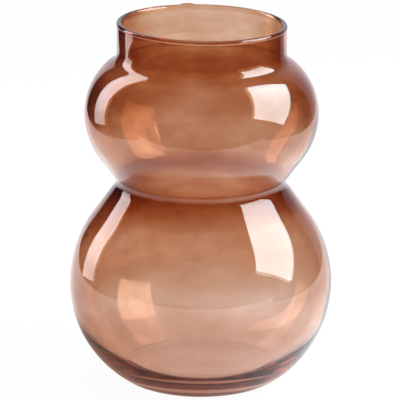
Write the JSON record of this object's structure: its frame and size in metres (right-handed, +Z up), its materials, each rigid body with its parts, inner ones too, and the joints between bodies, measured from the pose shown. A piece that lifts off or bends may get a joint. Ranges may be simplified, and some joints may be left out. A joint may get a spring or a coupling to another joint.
{
  "type": "gourd vase",
  "caption": "Gourd-shaped flower vase of clear brown glass: a wide lower bulb, a pinched waist, a flatter upper bulb and a short open neck with a rounded rim.",
  "frame": {"origin": "centre of the foot, on the surface that the vase stands on", "axes": "+Z up along the vase's axis, out of the mouth; the vase is round, so X and Y are free"},
  "size_m": [0.1818, 0.1818, 0.2516],
  "materials": {
    "amber_glass": "glossy, fire-polished, see-through brown tint that is deepest at the neck and shoulders and fades towards the foot"
  },
  "bodies": {
    "root": {"vase_body": "amber_glass"}
  },
  "joints": []
}
